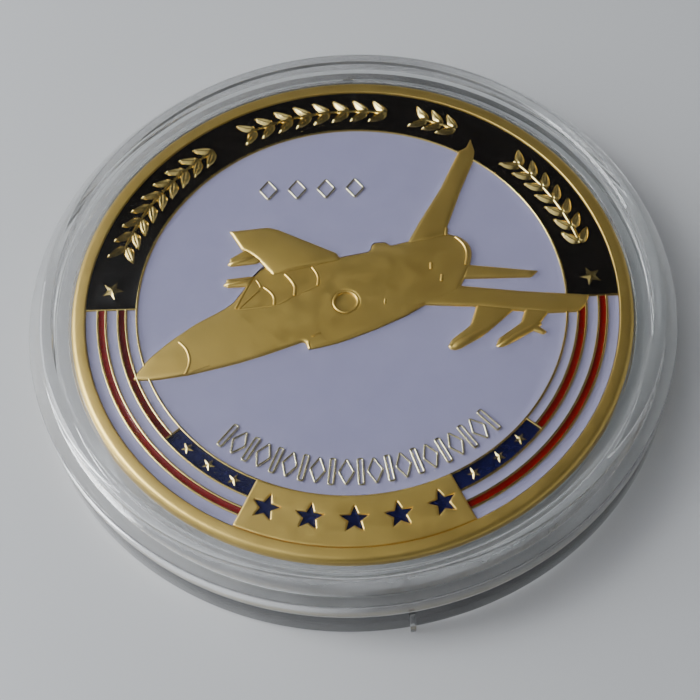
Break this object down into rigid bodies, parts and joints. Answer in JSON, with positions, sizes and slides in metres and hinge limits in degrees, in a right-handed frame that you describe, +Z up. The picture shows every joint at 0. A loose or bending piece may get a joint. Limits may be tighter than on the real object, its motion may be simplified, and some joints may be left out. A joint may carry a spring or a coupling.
{
  "type": "challenge coin",
  "caption": "Round struck metal coin with coloured enamel cells and a raised jet aircraft, held in a clear two-part round capsule whose lid lifts off.",
  "frame": {"origin": "centre of the capsule's foot, on the surface that it lies on", "axes": "+Z up through the coin's face, +X to the coin's right, +Y to the coin's top"},
  "size_m": [0.046, 0.046, 0.006],
  "materials": {
    "struck_gold": "satin gold plating, polished on the raised edges",
    "white_enamel": "glossy soft enamel, faintly lavender white",
    "black_enamel": "glossy soft enamel",
    "red_enamel": "glossy soft enamel",
    "blue_enamel": "glossy soft enamel",
    "clear_acrylic": "polished clear acrylic with light handling scuffs"
  },
  "bodies": {
    "base": {"capsule_base": "clear_acrylic"},
    "coin": {"coin_body": "struck_gold", "black_enamel_band": "black_enamel", "canton_blue_left": "blue_enamel", "canton_blue_right": "blue_enamel", "star_enamel_1": "blue_enamel", "star_enamel_2": "blue_enamel", "star_enamel_3": "blue_enamel", "star_enamel_4": "blue_enamel", "star_enamel_5": "blue_enamel", "stripe_red_inner_left_near_band": "red_enamel", "stripe_red_inner_left_near_canton": "red_enamel", "stripe_red_inner_right": "red_enamel", "stripe_red_outer_left": "red_enamel", "stripe_red_outer_right": "red_enamel", "stripe_white_inner_left_near_band": "white_enamel", "stripe_white_inner_left_near_canton": "white_enamel", "stripe_white_inner_right": "white_enamel", "stripe_white_middle_left": "white_enamel", "stripe_white_middle_right": "white_enamel", "stripe_white_outer_left": "white_enamel", "stripe_white_outer_right": "white_enamel", "white_enamel_lower_field": "white_enamel", "white_enamel_tail_field": "white_enamel", "white_enamel_upper_field": "white_enamel"},
    "lid": {"capsule_lid": "clear_acrylic"}
  },
  "joints": [
    {"name": "coin_lift", "type": "slide", "parent": "base", "child": "coin", "axis": [0, 0, 1], "range_m": [0, 0.015]},
    {"name": "lid_lift", "type": "slide", "parent": "base", "child": "lid", "axis": [0, 0, 1], "range_m": [0, 0.03]}
  ],
  "couplings": [
    {"joint": "lid_lift", "follows": "coin_lift", "ratio": 2}
  ]
}
